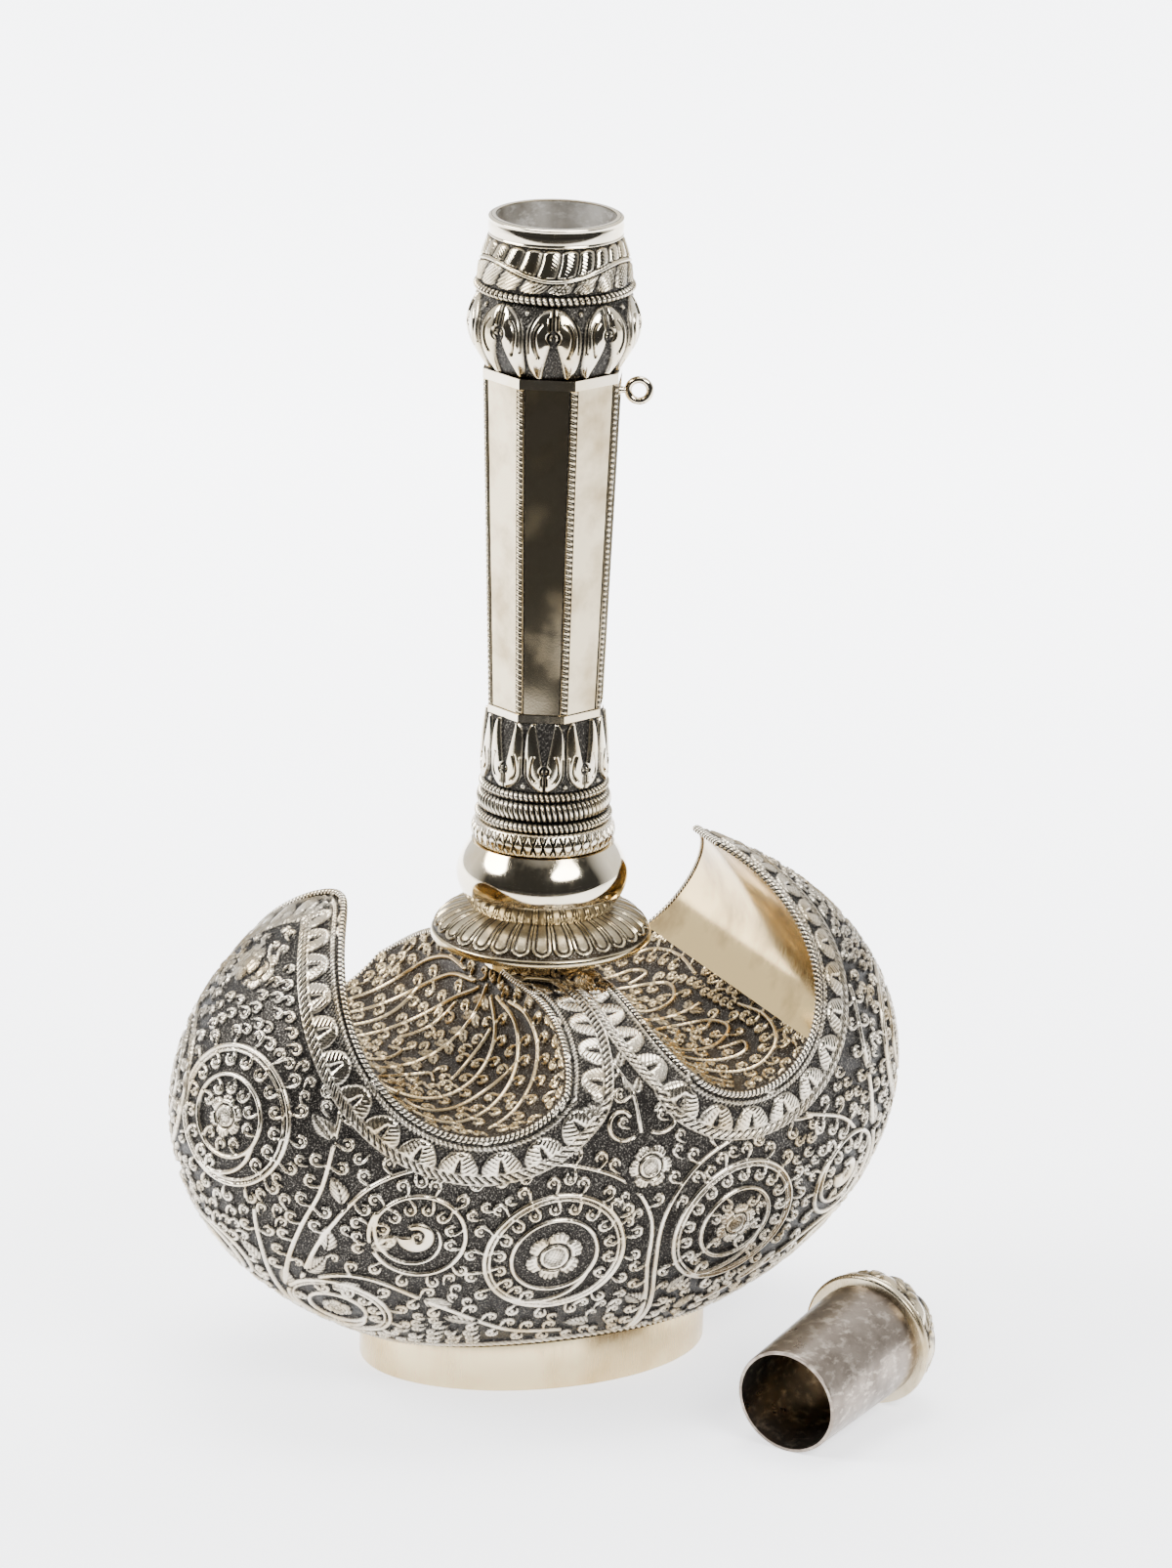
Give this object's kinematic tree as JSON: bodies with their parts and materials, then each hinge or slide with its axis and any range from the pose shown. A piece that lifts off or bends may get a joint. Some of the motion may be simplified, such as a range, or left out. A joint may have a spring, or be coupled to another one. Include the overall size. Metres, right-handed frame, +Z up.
{
  "type": "flask",
  "caption": "Hollow silver flask with a horned body cut by round scoops, an oval foot, a tall octagonal neck with lotus bands and a separate domed plug cap.",
  "frame": {"origin": "middle of the underside of the flask and its cap together, on the surface they stand on; the flask's own axis is at x 0, y 0.02173 m", "axes": "+Z up along the neck, X along the two horns, Y from the front of the body to its back; the cap lies in front, at -Y"},
  "size_m": [0.1976, 0.1674, 0.3003],
  "materials": {
    "chased_body": "chased in relief, dark oxidised ground",
    "chased_floor": "chased in relief, pale gilt",
    "gilt_wall": "polished, pale gilt",
    "foot_gilt": "satin, pale gilt",
    "polished_silver": "polished, warm",
    "petal_silver": "chased petals, warm",
    "rope_silver": "twisted and hatched, oxidised in the grooves",
    "lotus_silver": "chased leaves on a dark stippled ground",
    "shaft_silver": "polished flats with beaded edges",
    "worn_silver": "worn and tarnished",
    "cap_silver": "satin, warm",
    "cap_chased": "chased leaves, oxidised in the grooves"
  },
  "bodies": {
    "flask": {"body_bowl": "chased_body", "left_horn_shell": "chased_body", "right_horn_shell": "chased_body", "saddle": "chased_body", "left_horn_wall": "gilt_wall", "right_horn_wall": "gilt_wall", "left_scoop_floor": "chased_floor", "right_scoop_floor": "chased_floor", "foot_ring": "foot_gilt", "neck_stub": "polished_silver", "petal_flange": "petal_silver", "cushion_knop": "polished_silver", "hatched_ring": "rope_silver", "lower_rope_ring": "rope_silver", "twist_band": "rope_silver", "upper_rope_ring": "rope_silver", "lower_lotus_cup": "lotus_silver", "lower_fillet": "polished_silver", "neck_shaft": "shaft_silver", "upper_fillet": "polished_silver", "upper_lotus_bulb": "lotus_silver", "bulb_rope_ring": "rope_silver", "leaf_band": "lotus_silver", "lip_band": "polished_silver", "chain_loop": "polished_silver"},
    "cap": {"cap_sleeve": "worn_silver", "cap_rim_band": "cap_silver", "cap_dome": "cap_chased"}
  },
  "joints": [
    {"name": "cap_lift", "type": "slide", "parent": "flask", "child": "cap", "axis": [0, -0.2588, 0.9659], "range_m": [0, 0.32]}
  ]
}
